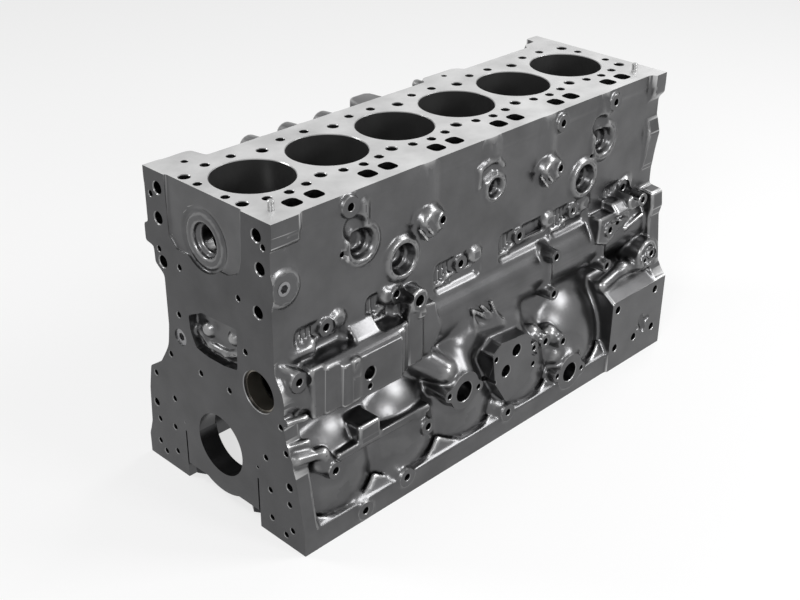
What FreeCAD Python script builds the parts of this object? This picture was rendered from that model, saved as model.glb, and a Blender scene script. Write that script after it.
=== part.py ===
import FreeCAD, Part
import os
import re
import Sketcher

# Six-cylinder in-line engine block with its main bearing caps, in millimetres.
# X runs along the crankshaft from the timing end to the flywheel end, and Z is up.
# The origin is on the crankshaft axis in the middle main bearing. The camshaft side is at minus Y.

CYLINDERS = 6
MAIN_BEARINGS = CYLINDERS + 1
SIDES = (1, -1)

SIZES = {
    # Cylinders, crankshaft and camshaft
    "bore_spacing": 120,
    "bore_diameter": 105,
    "deck_height": 352,
    "main_bore_diameter": 88,
    "main_web_thickness": 28,
    "throw_radius": 106,
    "cam_bore_diameter": 51,
    "cam_front_bore_diameter": 56,
    "cam_axis_side": 83,
    "cam_axis_height": 118,
    "cam_tunnel_radius": 45,
    "cam_chamber_radius": 33,
    # Casting
    "front_overhang": 14,
    "rear_overhang": 22,
    "rail_depth": 89,
    "rail_half_width": 160,
    "rail_height": 32,
    "rail_opening_half_width": 126,
    "crankcase_shoulder": 12,
    "near_wall": 115,
    "far_wall": 110,
    "far_waist": 92,
    "deck_flange_lip": 3,
    "deck_flange_depth": 19,
    "front_flange_thickness": 24,
    "rear_flange_thickness": 26,
    # Water jacket
    "barrel_radius": 60.5,
    "jacket_radius": 69,
    "jacket_floor": 200,
    "deck_thickness": 14,
    "jacket_wall": 8,
    "side_chamber_half_length": 27,
    "side_chamber_start": 40,
    "bolt_column_radius": 13,
    # Crankcase bays
    "bay_bulge_radius": 118,
    "bay_bulge_side": 36,
    "bay_bulge_drop": 30,
    "bay_bulge_root": 6,
    "bay_scallop_radius": 122.5,
    "bay_space_radius": 100,
    "bore_foot_allowance": 20,
    # Head bolts, coolant and oil holes and push rod openings in the deck
    "head_bolt_side": 54,
    "head_bolt_hole_radius": 7.25,
    "head_bolt_hole_depth": 90,
    "coolant_hole_radius": 6,
    "coolant_hole_run": 4,
    "near_coolant_side": 62,
    "near_oil_hole_side": 66,
    "near_coolant_offset": 30,
    "far_coolant_side": 66,
    "far_coolant_offset": 20,
    "end_coolant_side": 26,
    "end_coolant_station": 3.05,
    "push_rod_side": 90.5,
    "push_rod_offset": 17,
    "push_rod_opening": 22,
    "push_rod_corner": 7,
    # Main bearing caps and their bolts
    "cap_half_width": 75,
    "cap_depth": 65,
    "cap_relief_width": 2.5,
    "cap_relief_start": 14,
    "cap_bolt_side": 59,
    "cap_bolt_radius": 7,
    "cap_bolt_clearance": 0.3,
    "cap_bolt_reach": 60,
    "cap_bolt_hole_run": 2,
    "cap_bolt_head_across": 21,
    "cap_bolt_head_height": 9,
    "cap_washer_radius": 12.5,
    "cap_washer_thickness": 2,
    "dowel_clearance": 0.1,
    # Head dowels
    "head_dowel_radius": 4,
    "head_dowel_side": 90,
    "head_dowel_station": 2.9,
    "head_dowel_proud": 13,
    "head_dowel_seat": 12,
    "edge_break": 1,
    # Oil gallery, plugs and camshaft bush
    "gallery_side": 69,
    "gallery_height": 131,
    "gallery_radius": 7,
    "gallery_plug_radius": 12,
    "gallery_plug_length": 14,
    "gallery_plug_recess": 2,
    "plug_socket_across": 10,
    "plug_socket_depth": 7,
    "cam_bush_length": 22,
    "cam_bush_recess": 4,
    "cam_plug_length": 12,
    "cam_plug_wall": 3,
    "jacket_plug_drop": 87,
    "jacket_plug_station": 2.97,
    "jacket_plug_boss_radius": 21,
    "jacket_plug_radius": 9,
    "jacket_plug_length": 10,
    # Core holes into the water jacket
    "core_hole_radius": 21,
    "core_step_radius": 17,
    "core_step_depth": 5,
    "core_rim_radius": 30,
    "core_rim_height": 4,
    "front_core_drop": 65,
    "front_core_side": 8,
    "front_core_depth": 10,
    "core_hole_reach": 40,
    # Screw holes
    "case_bolt_radius": 8,
    "case_bolt_depth": 36,
    "case_screw_radius": 4,
    "case_screw_depth": 20,
    "rear_bolt_radius": 5,
    "side_hole_depth": 22,
    "boss_hole_depth": 11,
    "rail_screw_radius": 4,
    "rail_screw_depth": 11,
    "rail_screw_inset": 12,
    "rail_screw_offset": 30,
    # Bored bosses with an ear and a screw hole on each side
    "bored_boss_radius": 27,
    "bored_boss_ear_offset": 29,
    "bored_boss_ear_radius": 10,
    "bored_boss_screw_radius": 4,
    "bored_boss_bore_depth": 14,
    "machined_side_face": 163,
    # Sockets below the push rod openings
    "tappet_boss_offset": 4.5,
    "tappet_boss_height": 192,
    "tappet_boss_radius": 13,
    "tappet_boss_face": 120,
    "tappet_hole_radius": 5,
    "tappet_pocket_foot": 158,
    "tappet_pocket_top": 201,
    "tappet_pocket_floor": 107,
    # Rounded block behind the cooler pad, pilasters under the deck and bosses on its far edge
    "cooler_block_radius": 44,
    "cooler_block_side": 96,
    "cooler_block_height": 67,
    "cooler_block_start": -0.37,
    "cooler_block_length": 98,
    "pilaster_face": 122.5,
    "deck_boss_radius": 20,
    "deck_boss_face": 117,
    "starter_pad_station": 2.05,
    # Shallow recess and cast pocket in the front face, and the ledge on the near bays
    "front_recess_near": 66,
    "front_recess_far": 77,
    "front_recess_drop": 94,
    "front_recess_depth": 3,
    "front_pocket_near": 45,
    "front_pocket_far": 46,
    "front_pocket_foot": 132,
    "front_pocket_top": 190,
    "front_pocket_depth": 11,
    "ledge_first_station": -2.54,
    "ledge_last_station": -1.13,
    "ledge_height": 16,
    "ledge_thickness": 12,
    "ledge_face": 150,
    # Allowance by which a cutting tool runs past the face it cuts
    "overrun": 1,
}

# Outline of the front flange in the YZ plane, anticlockwise seen from the front. A number is a size
# of its own, and a text is a rule that follows another size.
FRONT_OUTLINE = (
    (-115, "deck_height"), (-111, 202), (-85, 190), (-82, 180), (-86, 159), (-94, 155), (-117, 141),
    (-126, 123), (-128, 90), (-133, 58), (-147, 22), (-152, -9), ("-rail_half_width", -55),
    ("-rail_half_width", "-rail_depth"), (-100, "-rail_depth"), (-100, -73), (-80, -71),
    ("-cap_half_width", "-cap_depth"), ("cap_half_width", "-cap_depth"), (99, "-rail_depth"),
    ("rail_half_width", "-rail_depth"), ("rail_half_width", -60), (152, -35), (149, 21), (142, 58),
    (117, 75), (90, 117), (87, 139), (89, 210), (109, 224), (110, 246), (126, 249), (126, 273),
    (118, 277), (118, "deck_height"))

REAR_OUTLINE = (
    (-124, "deck_height"), (-124, "deck_height - 30"), (-118, "deck_height - 37"),
    (-88, "deck_height - 57"), (-88, "deck_height - 71"), (-117, "deck_height - 72"), (-123, 259), (-115, 207), (-106, 188), (-108, 173), (-139, 170), (-142, 145), (-138, 129), (-142, 91),
    (-146, 53), ("-rail_half_width", 29), ("-rail_half_width", "-rail_depth"),
    ("rail_half_width", "-rail_depth"), ("rail_half_width", 10), (146, 53), (142, 91), (128, 125),
    (110, 150), (110, 200), (122, 215), (122, 262), (112, "deck_height - 72"), (112, "deck_height - 52"),
    (122, "deck_height - 37"), (122, "deck_height"))

# Section of the casting between its two end flanges.
BODY_OUTLINE = (
    ("-near_wall", "deck_height"), ("-near_wall", 130), (-112, 88), (-112, 60),
    (-118, "rail_height - rail_depth"), ("-rail_half_width", "rail_height - rail_depth"),
    ("-rail_half_width", "-rail_depth"), ("rail_half_width", "-rail_depth"),
    ("rail_half_width", "rail_height - rail_depth"), (118, "rail_height - rail_depth"), (112, 60), (97, 105), ("far_waist", 140), ("far_waist", 215), ("far_wall", 245), ("far_wall", "deck_height"))

# Sloping plate above the pan rail on each side, which the bays scallop, and the pad for the starter.
SLOPE_OUTLINE = ((100, -30), (143, -34), (158, "rail_height - rail_depth"), (158, -75), (100, -75))
STARTER_OUTLINE = ((-100, 64), (-146, 42), ("-machined_side_face", 28), ("-machined_side_face", "-rail_depth"),
                   (-100, "-rail_depth"))

# Plates with an outline on the near side: station in bore spacings, face distance, and corners
# measured along X from that station and up from the crankshaft axis.
SIDE_PLATES = {
    "cooler_pad": (0.15, 163, ((-50, 57), (-42, 8), (-16, -32), (22, -20), (51, 8), (44, 36), (22, 65),
                               (-33, 70))),
    "sensor_strap": (-1.12, 132, ((-32, 84), (4, 84), (22, 98), (31, 125), (24, 158), (4, 165), (4, 178),
                                  (-32, 178))),
    "rear_shelf": (2.2, 138, ((-38, 128), (-14, 120), (42, 140), (36, 168), (-36, 168)))}

# Tapped holes in pairs in the end faces: distance to each side, and drop below the deck or height
# above the crankshaft axis.
CASE_BOLTS = ((92.5, 22), (96, 63), (91.5, 122))
UPPER_CASE_SCREWS = ((105.5, 34), (56.5, 117.5))
CASE_SCREWS = ((65.5, 164.5), (131, 51), (93, 26.5), (135.5, 3), (133, -23.5), (98, -20), (137, -61.5),
               (124, -73.5), (98, -61))
UPPER_REAR_BOLTS = ((100, 17), (105, 112), (50, 112))
REAR_BOLTS = ((125, 110), (148, 10), (148, -60), (62, 165), (95, 25))

# Open core holes in the near wall: station in bore spacings and drop below the deck.
CORE_HOLES = ((-1.92, 73), (-1.37, 111), (1.7, 113), (2.06, 69))

# Bosses on the near side: station in bore spacings, drop below the deck or height above the
# crankshaft axis, face distance, boss radius and hole radius.
UPPER_BOSSES = (
    (-2.1, 18, 121, 12, 5), (-0.8, 83, 121, 13, 5), (1.21, 83, 121, 13, 5), (1.2, 18, 121, 11, 5),
    (2.2, 18, 121, 11, 5))
BOSSES = (
    (-1.26, 180, 138, 15, 7.5), (-2.92, 143, 132, 12, 5), (-2.65, 12, 158, 12, 5),
    (-1.27, -2, 158, 12, 5), (-2.27, -72, 163, 14, 5), (-1.63, -59, 163, 14, 5), (0.08, -52, 163, 14, 5),
    (1.01, 147, 144, 11, 5), (1.01, 88, 144, 11, 5), (2.06, 147, 144, 11, 5), (2.06, 88, 144, 11, 5),
    (2.32, 147, 144, 11, 5), (2.88, 73, 150, 24, 5), (0.73, 30, 160, 12, 5), (1.08, 13, 160, 12, 6),
    (2.6, 176, 148, 14, 5))

# Bored bosses on the near side, each with a screw hole either side: station, height, bore radius.
BORED_BOSSES = ((-0.73, 25, 15), (1.24, -46, 15))

# Blocks on the near side: first and last station, lowest and highest point, face distance.
PADS = {
    "front_pad": (-2.46, -1.6, 88, 150, 150),
    "front_shelf": (-2.68, -1.42, 84, 157, 135),
    "ledge_block": (-2.28, -1.9, 20, 62, 150)}

# Holes in the pads: station, height and radius.
PAD_HOLES = {
    "front_pad": ((-2.12, 121, 9), (-2.12, 102, 4)),
    "cooler_pad": ((0.16, 46, 9), (-0.02, 21, 9), (-0.2, 48, 4), (-0.22, 11, 4), (0.45, 45, 4),
                   (0.48, 7, 4)),
    "starter_pad": ((2.17, 15, 6), (2.17, -52, 6), (2.58, -52, 6), (2.98, -52, 6), (2.98, 15, 6))}

# Flat ribs under the deck: station, drop of the foot below the deck, radius.
PILASTERS = ((-0.975, 64, 35), (0.02, 34, 35), (0.99, 52, 35), (2.06, 30, 26))

# Stations of the bosses on the far edge of the deck.
DECK_BOSSES = ((-1.7,), (-1.16,), (-0.62,), (0.07,), (0.87,), (1.33,), (2.84,))

# Pockets above the camshaft tunnel, from the middle of each bay.
TAPPET_POCKETS = ((-40, 40), (-43, 4), (-40, 49), (-31, 46), (-36, 46), (-36, 30))


def name_places(table, prefix, words):
    """Give every number of a table of places a size of its own, such as boss_3_height."""
    for index, place in enumerate(table):
        for word, value in zip(words, place):
            if not isinstance(value, str):
                SIZES["%s_%d_%s" % (prefix, index, word)] = value


for table, prefix in ((FRONT_OUTLINE, "front_flange"), (REAR_OUTLINE, "rear_flange"), (BODY_OUTLINE, "body"),
                      (SLOPE_OUTLINE, "slope"), (STARTER_OUTLINE, "starter_pad"),
                      (CASE_SCREWS, "case_screw"), (REAR_BOLTS, "rear_bolt")):
    name_places(table, prefix, ("side", "height"))
for table, prefix in ((CASE_BOLTS, "case_bolt"), (UPPER_CASE_SCREWS, "upper_case_screw"),
                      (UPPER_REAR_BOLTS, "upper_rear_bolt")):
    name_places(table, prefix, ("side", "drop"))
for name, (station, face, corners) in SIDE_PLATES.items():
    SIZES[name + "_station"] = station
    SIZES[name + "_face"] = face
    name_places(corners, name, ("side", "height"))
name_places(CORE_HOLES, "core_hole", ("station", "drop"))
name_places(UPPER_BOSSES, "upper_boss", ("station", "drop", "face", "radius", "hole"))
name_places(BOSSES, "boss", ("station", "height", "face", "radius", "hole"))
name_places(BORED_BOSSES, "bored_boss", ("station", "height", "bore"))
name_places(PILASTERS, "pilaster", ("station", "drop", "radius"))
name_places(DECK_BOSSES, "deck_boss", ("station",))
name_places(TAPPET_POCKETS, "tappet_pocket", ("start", "end"))
for name, place in PADS.items():
    for word, value in zip(("first", "last", "foot", "top", "face"), place):
        SIZES["%s_%s" % (name, word)] = value
for name, holes in PAD_HOLES.items():
    name_places(holes, name + "_hole", ("station", "height", "radius"))

doc = FreeCAD.newDocument("engine_block")
sheet = doc.addObject("Spreadsheet::Sheet", "Sizes")
for row, (alias, value) in enumerate(SIZES.items(), start=1):
    sheet.set("A%d" % row, alias)
    sheet.set("B%d" % row, str(value))
    sheet.setAlias("B%d" % row, alias)
doc.recompute()

TURNS = {"x": FreeCAD.Rotation(FreeCAD.Vector(0, 1, 0), 90),
         "y": FreeCAD.Rotation(FreeCAD.Vector(1, 0, 0), -90),
         "z": FreeCAD.Rotation()}
FRONT = "-bore_spacing * %d / 2 - front_overhang" % CYLINDERS
REAR = "bore_spacing * %d / 2 + rear_overhang" % CYLINDERS
LENGTH = "bore_spacing * %d + front_overhang + rear_overhang" % CYLINDERS
WEB_START = "bore_spacing * (%d) - main_web_thickness / 2"
BAY = "bore_spacing * (%s)"


def formula(rule):
    """Turn a rule such as 'deck_height - 5' into a formula that reads the sheet."""
    return re.sub(r"\b[a-z][a-z_0-9]+\b(?!\()", lambda word: "Sizes." + word.group(), str(rule))


def bind(item, **rules):
    for key, rule in rules.items():
        item.setExpression(key, formula(rule))
    return item


def at(item, x, y, z, turn="z"):
    item.Placement.Rotation = TURNS[turn]
    for axis, rule in zip("xyz", (x, y, z)):
        item.setExpression("Placement.Base." + axis, formula(rule))
    return item


def rod(name, axis, x, y, z, radius, length):
    """A round bar that starts at a point and runs along the given axis."""
    item = bind(doc.addObject("Part::Cylinder", name), Radius=radius, Height=length)
    return at(item, x, y, z, axis)


def box(name, x, y, z, length, width, height):
    item = bind(doc.addObject("Part::Box", name), Length=length, Width=width, Height=height)
    return at(item, x, y, z)


def joined(name, items):
    item = doc.addObject("Part::MultiFuse", name)
    item.Shapes = items
    item.Refine = False
    return item


def grouped(name, items):
    item = doc.addObject("Part::Compound", name)
    item.Links = items
    return item


def cut(name, base, tool):
    item = doc.addObject("Part::Cut", name)
    item.Base = base
    item.Tool = tool
    return item


def common(name, base, tool):
    item = doc.addObject("Part::Common", name)
    item.Base = base
    item.Tool = tool
    return item


def padded(name, outline, prefix, role, length):
    """A plate with an outline sketched in the YZ or XZ plane."""
    body = doc.addObject("PartDesign::Body", name)
    sketch = body.newObject("Sketcher::SketchObject", name + "_sketch")
    plane = [feature for feature in body.Origin.OriginFeatures if feature.Role == role][0]
    sketch.AttachmentSupport = [(plane, "")]
    sketch.MapMode = "FlatFace"
    rules = [["%s_%d_%s" % (prefix, index, word) if not isinstance(value, str) else value
              for word, value in zip(("side", "height"), corner)]
             for index, corner in enumerate(outline)]
    starts = [FreeCAD.Vector(*[sheet_value(rule) for rule in corner], 0) for corner in rules]
    count = len(starts)
    for index, start in enumerate(starts):
        sketch.addGeometry(Part.LineSegment(start, starts[(index + 1) % count]))
    for index in range(count):
        sketch.addConstraint(Sketcher.Constraint("Coincident", index, 2, (index + 1) % count, 1))
    for index, corner in enumerate(rules):
        for kind, rule, value in zip(("DistanceX", "DistanceY"), corner, starts[index]):
            link = sketch.addConstraint(Sketcher.Constraint(kind, -1, 1, index, 1, value))
            sketch.setExpression("Constraints[%d]" % link, formula(rule))
    pad = body.newObject("PartDesign::Pad", name + "_pad")
    pad.Profile = sketch
    bind(pad, Length=length)
    return body


def slab(name, outline, prefix, x, length):
    """A plate with an outline in the YZ plane that runs along X."""
    body = padded(name, outline, prefix, "YZ_Plane", length)
    body.setExpression("Placement.Base.x", formula(x))
    return body


def side_plate(name, outline, station, face):
    """A plate with an outline in the XZ plane that stands out from the near wall."""
    body = padded(name, outline, name, "XZ_Plane", face + " - near_wall + crankcase_shoulder")
    body.setExpression("Placement.Base.x", formula("bore_spacing * " + station))
    body.setExpression("Placement.Base.y", formula("crankcase_shoulder - near_wall"))
    return body


def sheet_value(rule):
    """The value of a sum of sizes and numbers, to start a sketch near its solution."""
    total = 0
    for sign, word in re.findall(r"([+-]?)\s*([a-z][a-z_0-9]+|\d+)", rule):
        value = SIZES[word] if word in SIZES else int(word)
        total += -value if sign == "-" else value
    return total


def bays():
    """Number and middle of each crankcase bay, in bore spacings from the middle main bearing."""
    return [(index + 1, index - (CYLINDERS - 1) / 2) for index in range(CYLINDERS)]


def webs():
    """Number and place of each main bearing web, in bore spacings from the middle one."""
    return [(index + 1, index - (MAIN_BEARINGS - 1) // 2) for index in range(MAIN_BEARINGS)]


def cone(name, axis, x, y, z, foot_radius, top_radius, height):
    item = bind(doc.addObject("Part::Cone", name), Radius1=foot_radius, Radius2=top_radius, Height=height)
    return at(item, x, y, z, axis)


def hexagon(name, axis, x, y, z, across, length):
    """A six-sided bar with the given size across its flats."""
    item = doc.addObject("Part::Prism", name)
    item.Polygon = 6
    bind(item, Circumradius="%s / sqrt(3)" % across, Height=length)
    return at(item, x, y, z, axis)


def bulge(name, middle, side, radius):
    """A ball round the throw of a crank, cut off level just below the top of the pan rail."""
    foot = "(bay_bulge_drop - rail_depth + rail_height - bay_bulge_root)"
    item = bind(doc.addObject("Part::Sphere", name), Radius=radius, Angle1="asin(%s / %s)" % (foot, radius))
    return at(item, BAY % middle, "bay_bulge_side * (%d)" % side, "-bay_bulge_drop")


# The rough casting: body, end flanges, camshaft tunnel, crankcase bulges, bosses and pads.
body = slab("casting_body", BODY_OUTLINE, "body", FRONT, LENGTH)
front_flange = slab("front_flange", FRONT_OUTLINE, "front_flange", FRONT, "front_flange_thickness")
rear_flange = slab("rear_flange", REAR_OUTLINE, "rear_flange", REAR + " - rear_flange_thickness",
                   "rear_flange_thickness")
end_trim = box("front_end_trim", FRONT, "-rail_half_width", "-rail_depth", "front_flange_thickness",
               "rail_half_width * 2", "rail_depth + deck_height")
pockets = [end_trim]
for number, middle in bays():
    key = "tappet_pocket_%d_" % (number - 1)
    pockets.append(box("tappet_pocket_%d" % number, (BAY % middle) + " + " + key + "start",
                       "-near_wall - overrun", "tappet_pocket_foot", key + "end - " + key + "start",
                       "near_wall - tappet_pocket_floor + overrun",
                       "tappet_pocket_top - tappet_pocket_foot"))
body_behind_flange = cut("body_behind_flange", body, joined("body_trims", pockets))
deck_flange =box("deck_flange", FRONT, "-near_wall - deck_flange_lip", "deck_height - deck_flange_depth",
                  LENGTH, "near_wall + deck_flange_lip + far_wall", "deck_flange_depth")
cam_tunnel = rod("cam_tunnel", "x", FRONT, "-cam_axis_side", "cam_axis_height", "cam_tunnel_radius",
                 LENGTH)
ledge = box("bay_ledge", "bore_spacing * ledge_first_station", "-ledge_face", "ledge_height",
            "bore_spacing * (ledge_last_station - ledge_first_station)",
            "ledge_face - near_wall + crankcase_shoulder", "ledge_thickness")
starter_pad = slab("starter_pad", STARTER_OUTLINE, "starter_pad", "bore_spacing * starter_pad_station",
                   REAR + " - bore_spacing * starter_pad_station")
cooler_block = rod("cooler_block", "x", "bore_spacing * cooler_block_start", "-cooler_block_side",
                   "cooler_block_height", "cooler_block_radius", "cooler_block_length")
shell = [body_behind_flange, front_flange, rear_flange, deck_flange, cam_tunnel]
blocks = [ledge, starter_pad, cooler_block]

# The plate above the pan rail runs the whole length, and each bay carves a step round its dome.
for side, word in zip(SIDES, ("far", "near")):
    slope = slab("slope_plate_" + word, SLOPE_OUTLINE, "slope", FRONT, LENGTH)
    if side < 0:
        slope = doc.addObject("Part::Mirroring", "slope_plate_mirror")
        slope.Source = doc.getObject("slope_plate_near")
        slope.Normal = (0, 1, 0)
    scallops = [bulge("%s_scallop_%d" % (word, number), middle, side, "bay_scallop_radius")
                for number, middle in bays()]
    shell.append(cut("scalloped_plate_" + word, slope, joined("scallops_" + word, scallops)))

for number, middle in bays():
    for side, word in zip(SIDES, ("far", "near")):
        shell.append(bulge("%s_bulge_%d" % (word, number), middle, side, "bay_bulge_radius"))
    blocks.append(rod("tappet_boss_%d" % number, "y", (BAY % middle) + " + tappet_boss_offset",
                      "-tappet_boss_face", "tappet_boss_height", "tappet_boss_radius",
                      "tappet_boss_face - near_wall + crankcase_shoulder"))

bosses = []
bored = []
pads = []
rims = []
all_bosses = [("boss_%d" % index, "boss_%d_height" % index) for index in range(len(BOSSES))]
all_bosses += [("upper_boss_%d" % index, "deck_height - upper_boss_%d_drop" % index)
               for index in range(len(UPPER_BOSSES))]
for name, level in all_bosses:
    bosses.append(rod(name, "y", "bore_spacing * %s_station" % name, "-%s_face" % name, level,
                      name + "_radius", name + "_face - near_wall + crankcase_shoulder"))
for index in range(len(BORED_BOSSES)):
    key = "bored_boss_%d_" % index
    for turn, radius in ((0, "bored_boss_radius"), (-1, "bored_boss_ear_radius"),
                         (1, "bored_boss_ear_radius")):
        bored.append(rod("bored_boss_%d_%d" % (index, turn + 2), "y",
                         "bore_spacing * %sstation + bored_boss_ear_offset * (%d)" % (key, turn),
                         "-machined_side_face", key + "height", radius,
                         "machined_side_face - near_wall"))
for name in PADS:
    pads.append(box(name, "bore_spacing * %s_first" % name, "-%s_face" % name, name + "_foot",
                    "bore_spacing * (%s_last - %s_first)" % (name, name),
                    name + "_face - near_wall + crankcase_shoulder", "%s_top - %s_foot" % (name, name)))
for name, (station, face, corners) in SIDE_PLATES.items():
    pads.append(side_plate(name, corners, name + "_station", name + "_face"))
for index in range(len(PILASTERS)):
    key = "pilaster_%d_" % index
    rims.append(rod("pilaster_%d" % index, "z", "bore_spacing * " + key + "station",
                    key + "radius - pilaster_face", "deck_height - " + key + "drop", key + "radius",
                    key + "drop"))
for index in range(len(DECK_BOSSES)):
    rims.append(rod("deck_boss_%d" % index, "z", "bore_spacing * deck_boss_%d_station" % index,
                    "deck_boss_face - deck_boss_radius", "deck_height - deck_flange_depth",
                    "deck_boss_radius", "deck_flange_depth"))
for index in range(len(CORE_HOLES)):
    key = "core_hole_%d_" % index
    rims.append(rod("core_rim_%d" % index, "y", "bore_spacing * " + key + "station",
                    "-near_wall - core_rim_height", "deck_height - " + key + "drop", "core_rim_radius",
                    "core_rim_height + crankcase_shoulder"))
rims.append(rod("jacket_plug_boss", "y", "-bore_spacing * jacket_plug_station",
                "-near_wall - core_rim_height", "deck_height - jacket_plug_drop",
                "jacket_plug_boss_radius", "core_rim_height + crankcase_shoulder"))
envelope = box("casting_envelope", FRONT, "-machined_side_face", "-rail_depth", LENGTH,
               "machined_side_face * 2", "rail_depth + deck_height")
forms = joined("casting_shell", shell)
for name, items in (("casting_with_bored_bosses", bored), ("casting_with_blocks", blocks),
                    ("casting_with_pads", pads), ("casting_with_bosses", bosses),
                    ("casting_with_rims", rims)):
    forms = joined(name, [forms] + items)
casting = common("rough_casting", forms, envelope)

# What is hollow: bores, crankcase bays, camshaft tunnel, water jacket and push rod chambers.
hollow = []
for number, middle in bays():
    bay_start = "bore_spacing * (%s - 0.5) + main_web_thickness / 2" % middle
    bay_length = "bore_spacing - main_web_thickness"
    hollow.append(rod("cylinder_bore_%d" % number, "z", BAY % middle, 0,
                      "throw_radius - bore_foot_allowance", "bore_diameter / 2",
                      "deck_height - throw_radius + bore_foot_allowance + overrun"))
    hollow.append(rod("throw_space_%d" % number, "x", bay_start, 0, 0, "throw_radius", bay_length))
    for side, word in zip(SIDES, ("far", "near")):
        hollow.append(rod("%s_bulge_space_%d" % (word, number), "x", bay_start,
                          "bay_bulge_side * (%d)" % side, "-bay_bulge_drop", "bay_space_radius",
                          bay_length))
    hollow.append(box("bay_space_%d" % number, bay_start, "-rail_opening_half_width",
                      "-rail_depth - overrun", bay_length, "rail_opening_half_width * 2",
                      "rail_depth - crankcase_shoulder"))
    hollow.append(rod("cam_chamber_%d" % number, "x", bay_start, "-cam_axis_side", "cam_axis_height",
                      "cam_chamber_radius", bay_length))
    for turn in SIDES:
        middle_x = "%s + push_rod_offset * (%d)" % (BAY % middle, turn)
        name = "push_rod_opening_%d_%d" % (number, 1 if turn < 0 else 2)
        square = box(name + "_square", middle_x + " - push_rod_opening / 2",
                     "-push_rod_side - push_rod_opening / 2", "cam_axis_height", "push_rod_opening",
                     "push_rod_opening", "deck_height - cam_axis_height + overrun")
        bar = rod(name + "_round", "z", middle_x, "-push_rod_side", "cam_axis_height",
                  "push_rod_opening / 2 + push_rod_corner / 2",
                  "deck_height - cam_axis_height + overrun")
        hollow.append(common(name, square, bar))
hollow.append(box("sump_opening", FRONT + " + front_flange_thickness", "-rail_opening_half_width",
                  "-rail_depth - overrun", LENGTH + " - front_flange_thickness - rear_flange_thickness",
                  "rail_opening_half_width * 2", "rail_depth - cap_depth + overrun"))
hollow.append(box("cap_notch", FRONT + " - overrun", "-cap_half_width", "-rail_depth - overrun",
                  LENGTH + " + overrun * 2", "cap_half_width * 2", "rail_depth + overrun"))
hollow.append(rod("main_bore", "x", FRONT + " - overrun", 0, 0, "main_bore_diameter / 2",
                  LENGTH + " + overrun * 2"))
hollow.append(rod("cam_bore", "x", FRONT + " - overrun", "-cam_axis_side", "cam_axis_height",
                  "cam_bore_diameter / 2", LENGTH + " + overrun * 2"))
hollow.append(rod("cam_front_bore", "x", FRONT + " - overrun", "-cam_axis_side", "cam_axis_height",
                  "cam_front_bore_diameter / 2", "cam_bush_length + cam_bush_recess + overrun"))
hollow.append(rod("cam_rear_bore", "x", REAR + " - cam_plug_length - cam_bush_recess", "-cam_axis_side",
                  "cam_axis_height", "cam_front_bore_diameter / 2",
                  "cam_plug_length + cam_bush_recess + overrun"))
bores = joined("hollow_forms", hollow)

jacket_height = "deck_height - deck_thickness - jacket_floor"
jacket_forms = [
    rod("jacket_round_%d" % number, "z", BAY % middle, 0, "jacket_floor", "jacket_radius", jacket_height)
    for number, middle in bays()]
jacket_cores = [
    rod("barrel_%d" % number, "z", BAY % middle, 0, "jacket_floor - overrun", "barrel_radius",
        jacket_height + " + overrun * 2") for number, middle in bays()]
for number, place in webs()[1:-1]:
    for side, word, wall, start in ((1, "far", "far_waist", "side_chamber_start"),
                                    (-1, "near", "near_wall", "jacket_wall - near_wall")):
        jacket_forms.append(box("side_chamber_%s_%d" % (word, number),
                                (BAY % place) + " - side_chamber_half_length", start, "jacket_floor",
                                "side_chamber_half_length * 2", wall + " - jacket_wall - side_chamber_start",
                                jacket_height))
        jacket_cores.append(rod("bolt_column_%s_%d" % (word, number), "z", BAY % place,
                                "head_bolt_side * (%d)" % side, "jacket_floor - overrun",
                                "bolt_column_radius", jacket_height + " + overrun * 2"))
jacket = cut("water_jacket", joined("jacket_outer", jacket_forms), joined("jacket_inner", jacket_cores))

core_tools = []
for index in range(len(CORE_HOLES)):
    key = "core_hole_%d_" % index
    place = ("bore_spacing * " + key + "station", "-near_wall - core_rim_height - overrun",
             "deck_height - " + key + "drop")
    core_tools.append(rod("core_bore_%d" % index, "y", *place, "core_step_radius",
                          "core_hole_reach + core_rim_height + overrun"))
    core_tools.append(rod("core_step_%d" % index, "y", *place, "core_hole_radius",
                          "core_step_depth + core_rim_height + overrun"))
front_core = (FRONT + " - overrun", "front_core_side", "deck_height - front_core_drop")
core_tools.append(rod("front_core_bore", "x", *front_core, "core_step_radius",
                      "front_core_depth + overrun"))
core_tools.append(rod("front_core_step", "x", *front_core, "core_hole_radius",
                      "core_step_depth + overrun"))
core_tools.append(box("front_recess", FRONT + " - overrun", "-front_recess_near",
                      "deck_height - front_recess_drop", "front_recess_depth + overrun",
                      "front_recess_near + front_recess_far", "front_recess_drop + overrun"))
core_tools.append(box("front_pocket", FRONT + " - overrun", "-front_pocket_near", "front_pocket_foot",
                      "front_pocket_depth + overrun", "front_pocket_near + front_pocket_far",
                      "front_pocket_top - front_pocket_foot"))
core_openings = joined("core_openings", core_tools)

# Drilled and tapped holes, none of which meets another.
drilled = []
COOLANT_DEPTH = "(deck_thickness + coolant_hole_run)"


def deck_hole(name, x, y, radius, depth):
    drilled.append(rod(name, "z", x, y, "deck_height - " + depth, radius, depth + " + overrun"))


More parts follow.
